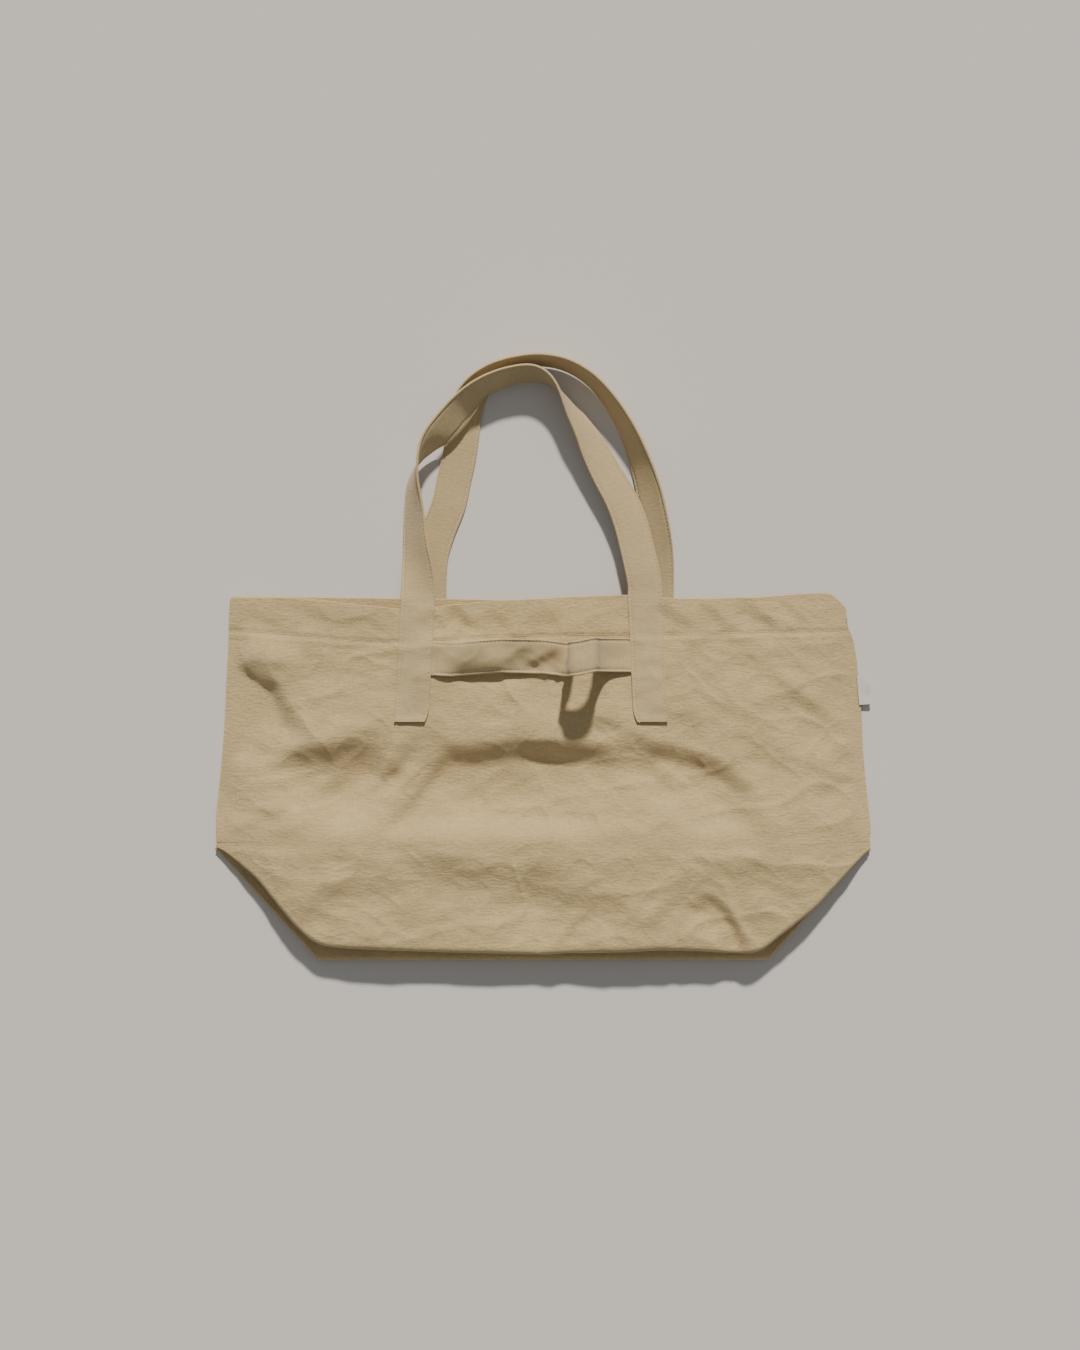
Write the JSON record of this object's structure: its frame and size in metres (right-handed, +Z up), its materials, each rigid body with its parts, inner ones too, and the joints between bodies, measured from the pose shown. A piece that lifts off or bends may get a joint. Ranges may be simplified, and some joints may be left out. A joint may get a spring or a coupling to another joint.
{
  "type": "beach bag",
  "caption": "Large soft canvas tote with a boxed base, lying flat and empty on its back, with two shoulder handles, a slack front strap and a small blank side label.",
  "frame": {"origin": "middle of the box that the lying bag and its handles fill, on the surface that it lies on", "axes": "+X across the bag, to the right as the front is seen; +Y from the base to the mouth and the handles; +Z up, out of the front panel"},
  "size_m": [0.617, 0.5682, 0.0693],
  "materials": {
    "canvas": "matte, natural beige cotton canvas, plain weave with slubs",
    "strap_canvas": "matte, the same canvas folded and edge stitched",
    "thread": "matte spun thread",
    "binding": "matte bias tape",
    "label": "white woven tape with a slight sheen"
  },
  "bodies": {
    "bag_back": {"back_panel": "canvas", "back_base_panel": "canvas", "back_hem": "canvas", "back_hem_stitching": "thread", "left_side_seam": "binding", "right_side_seam": "binding", "back_left_corner_seam": "binding", "back_right_corner_seam": "binding", "base_centre_seam": "binding", "back_handle_left_end": "strap_canvas", "back_handle_right_end": "strap_canvas", "back_left_end_stitching": "thread", "back_right_end_stitching": "thread"},
    "bag_front": {"front_panel": "canvas", "front_hem": "canvas", "front_hem_stitching": "thread", "front_handle_left_end": "strap_canvas", "front_handle_right_end": "strap_canvas", "front_left_end_stitching": "thread", "front_right_end_stitching": "thread", "front_strap_left_tab": "strap_canvas", "front_strap_right_tab": "strap_canvas"},
    "base_front": {"front_base_panel": "canvas", "front_left_corner_seam": "binding", "front_right_corner_seam": "binding"},
    "front_handle": {"front_handle": "strap_canvas", "front_handle_stitching": "thread"},
    "back_handle": {"back_handle": "strap_canvas", "back_handle_stitching": "thread"},
    "front_strap": {"front_strap": "strap_canvas", "front_strap_stitching": "thread"},
    "side_label": {"side_label": "label"}
  },
  "joints": [
    {"name": "mouth_open", "type": "hinge", "parent": "bag_back", "child": "bag_front", "pos_m": [0, -0.172, 0.033], "axis": [1, 0, 0], "range_deg": [0, 25]},
    {"name": "base_open", "type": "hinge", "parent": "bag_back", "child": "base_front", "pos_m": [0, -0.172, 0.033], "axis": [1, 0, 0], "range_deg": [-25, 0]},
    {"name": "front_handle_swing", "type": "hinge", "parent": "bag_front", "child": "front_handle", "pos_m": [-0.0095, 0.0561, 0.0188], "axis": [1, 0, 0], "range_deg": [0, 150]},
    {"name": "back_handle_swing", "type": "hinge", "parent": "bag_back", "child": "back_handle", "pos_m": [0, 0.0561, -0.0001], "axis": [1, 0, 0], "range_deg": [-170, 0]},
    {"name": "front_strap_lift", "type": "hinge", "parent": "bag_front", "child": "front_strap", "pos_m": [-0.0095, 0.0169, 0.019], "axis": [1, 0, 0], "range_deg": [-35, 0]},
    {"name": "label_flip", "type": "hinge", "parent": "bag_back", "child": "side_label", "pos_m": [0.29757, -0.03, 0.0051], "axis": [-0.0785, 0.9969, 0], "range_deg": [-90, 20]}
  ]
}
